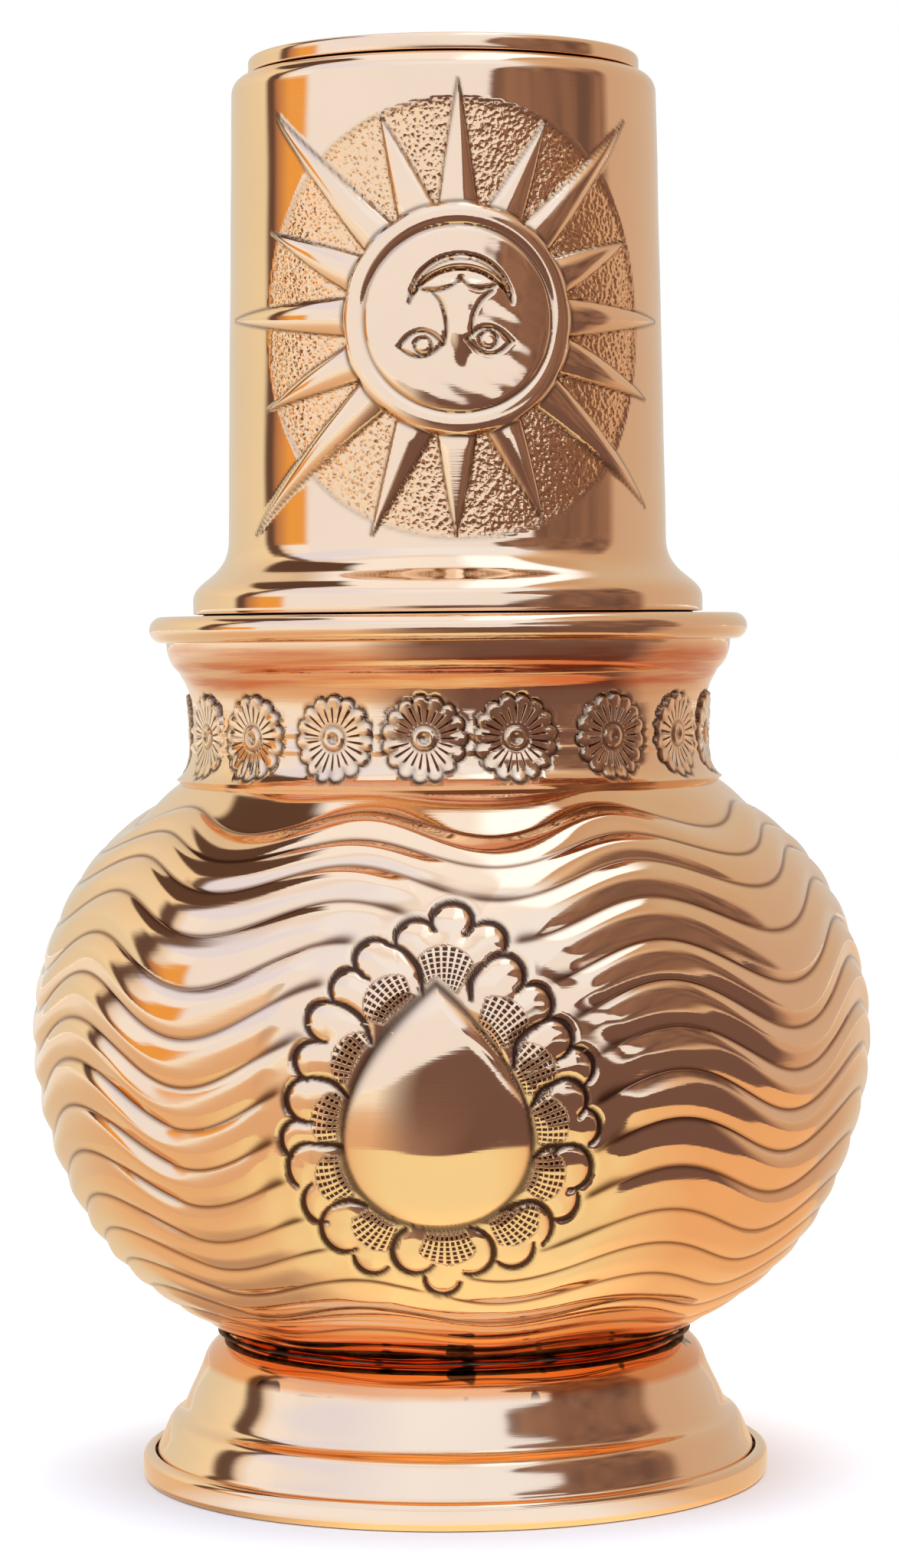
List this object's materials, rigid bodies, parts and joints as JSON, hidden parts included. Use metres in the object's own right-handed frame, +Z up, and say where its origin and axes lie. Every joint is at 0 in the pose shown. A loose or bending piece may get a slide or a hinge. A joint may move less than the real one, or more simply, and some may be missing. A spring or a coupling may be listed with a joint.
{
  "type": "lota",
  "caption": "Polished copper lota with a round belly, waisted neck and flared foot, closed by an upturned tumbler that lifts off as its lid.",
  "frame": {"origin": "floor under the middle of the foot ring", "axes": "+Z up along the pot's axis, -Y towards the side with the drop ornament and the sun"},
  "size_m": [0.1484, 0.1484, 0.2505],
  "materials": {
    "belly_copper": "polished copper sheet, chased waves",
    "neck_copper": "polished copper sheet, chased rosettes",
    "rim_copper": "polished turned copper",
    "foot_copper": "polished copper sheet",
    "tumbler_copper": "polished copper sheet, embossed sun",
    "wire_iron": "bare drawn wire",
    "tin_solder": "dull dark solder"
  },
  "bodies": {
    "lota": {"belly_bowl": "belly_copper", "belly_shoulder": "belly_copper", "neck_collar": "neck_copper", "mouth_rim": "rim_copper", "foot_skirt": "foot_copper", "foot_rim_wire": "wire_iron", "foot_solder": "tin_solder"},
    "tumbler": {"tumbler_wall": "tumbler_copper", "tumbler_base": "tumbler_copper"}
  },
  "joints": [
    {"name": "tumbler_lift", "type": "slide", "parent": "lota", "child": "tumbler", "axis": [0, 0, 1], "range_m": [0, 0.12]}
  ]
}
